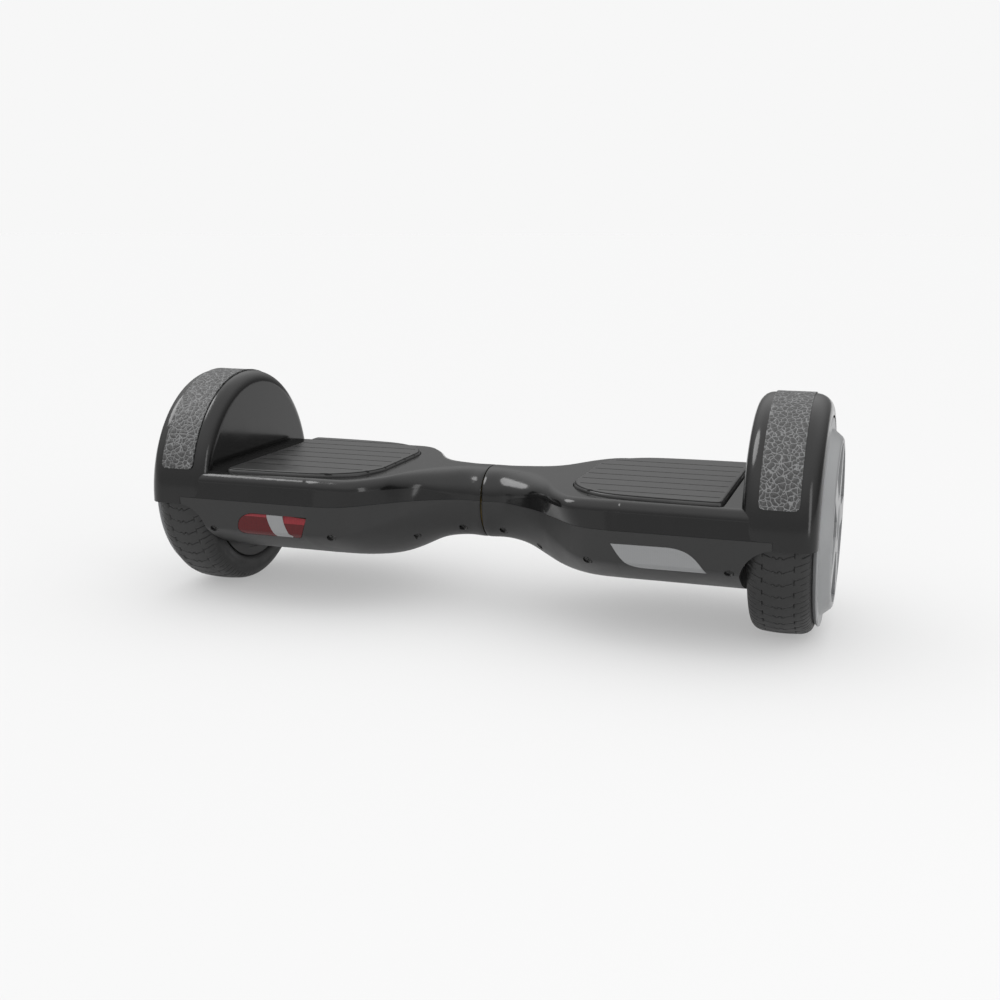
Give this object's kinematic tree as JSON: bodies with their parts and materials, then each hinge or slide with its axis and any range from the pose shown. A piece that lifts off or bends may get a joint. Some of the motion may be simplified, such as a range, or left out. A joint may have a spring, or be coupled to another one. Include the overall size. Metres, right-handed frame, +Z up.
{
  "type": "self balancing hoverboard",
  "caption": "Two-wheeled self balancing board: two twisting half bodies with ribbed foot pads, fenders over hub motor wheels, and front and rear lights.",
  "frame": {"origin": "on the floor under the middle of the neck, midway between the wheels", "axes": "+X along the board to the right wheel, +Y to the back, +Z up"},
  "size_m": [0.54, 0.1812, 0.1806],
  "materials": {
    "gloss_shell": "gloss",
    "satin_shell": "satin",
    "textured_strip": "grained",
    "pale_lens": "satin",
    "red_lens": "gloss",
    "circuit_board": "satin",
    "black_plastic": "matte",
    "cast_aluminium": "as cast",
    "steel": "machined",
    "laminations": "laminated",
    "copper": "enamelled wire",
    "tyre": "matte",
    "magnet": "nickel plated",
    "grey_plastic": "satin",
    "pad_rubber": "satin",
    "battery_cell": "satin",
    "battery_sleeve": "shrink film",
    "gold_ring": "satin",
    "cable_rubber": "matte",
    "brass": "machined",
    "board_parts": "satin",
    "black_metal": "matte black"
  },
  "bodies": {
    "left_half": {"top_shell_left": "gloss_shell", "bottom_shell_left": "satin_shell", "fender_strip_left": "textured_strip", "headlight_lens_left": "pale_lens", "tail_light_lens_left": "red_lens", "light_boards_left": "circuit_board", "neck_panel_left": "gloss_shell", "pad_tray_left": "black_plastic", "sensor_board_left": "circuit_board", "chassis_left": "cast_aluminium", "axle_clamp_left": "cast_aluminium", "clamp_screws_left": "steel", "shell_screws_left": "black_metal", "axle_left": "steel", "stator_core_left": "laminations", "windings_left": "copper", "battery_cells": "battery_cell", "battery_sleeve": "battery_sleeve", "battery_board": "circuit_board", "pivot_tube": "steel", "retaining_ring": "steel", "neck_seal_ring": "gold_ring", "link_cable": "cable_rubber"},
    "right_half": {"top_shell_right": "gloss_shell", "bottom_shell_right": "satin_shell", "fender_strip_right": "textured_strip", "headlight_lens_right": "pale_lens", "tail_light_lens_right": "red_lens", "light_boards_right": "circuit_board", "neck_panel_right": "gloss_shell", "pad_tray_right": "black_plastic", "sensor_board_right": "circuit_board", "chassis_right": "cast_aluminium", "axle_clamp_right": "cast_aluminium", "clamp_screws_right": "steel", "shell_screws_right": "black_metal", "axle_right": "steel", "stator_core_right": "laminations", "windings_right": "copper", "pivot_bushes": "brass", "control_board": "circuit_board", "board_parts": "board_parts", "charge_socket": "black_plastic", "button_bezel": "grey_plastic"},
    "left_wheel": {"tyre_left": "tyre", "motor_rim_left": "black_metal", "motor_cover_left": "black_metal", "wheel_bearings_left": "steel", "magnets_left": "magnet", "hub_cover_left": "grey_plastic"},
    "right_wheel": {"tyre_right": "tyre", "motor_rim_right": "black_metal", "motor_cover_right": "black_metal", "wheel_bearings_right": "steel", "magnets_right": "magnet", "hub_cover_right": "grey_plastic"},
    "left_pad": {"footpad_left": "pad_rubber"},
    "right_pad": {"footpad_right": "pad_rubber"},
    "charge_cap_body": {"charge_cap": "pad_rubber"},
    "button_body": {"power_button": "black_plastic"}
  },
  "joints": [
    {"name": "neck_twist", "type": "hinge", "parent": "left_half", "child": "right_half", "pos_m": [0, 0, 0.083], "axis": [1, 0, 0], "range_deg": [-12, 12]},
    {"name": "left_wheel_spin", "type": "hinge", "parent": "left_half", "child": "left_wheel", "pos_m": [-0.236, 0, 0.085], "axis": [1, 0, 0], "continuous": true},
    {"name": "right_wheel_spin", "type": "hinge", "parent": "right_half", "child": "right_wheel", "pos_m": [0.236, 0, 0.085], "axis": [1, 0, 0], "continuous": true},
    {"name": "left_pad_press", "type": "slide", "parent": "left_half", "child": "left_pad", "axis": [0, 0, -1], "range_m": [0, 0.0015], "stiffness_N_per_m": 30000},
    {"name": "right_pad_press", "type": "slide", "parent": "right_half", "child": "right_pad", "axis": [0, 0, -1], "range_m": [0, 0.0015], "stiffness_N_per_m": 30000},
    {"name": "charge_cap_swing", "type": "hinge", "parent": "right_half", "child": "charge_cap_body", "pos_m": [0.1615, 0, 0.0325], "axis": [0, -1, 0], "range_deg": [0, 110]},
    {"name": "power_button_press", "type": "slide", "parent": "right_half", "child": "button_body", "axis": [0, 0, 1], "range_m": [0, 0.001], "stiffness_N_per_m": 1500}
  ]
}
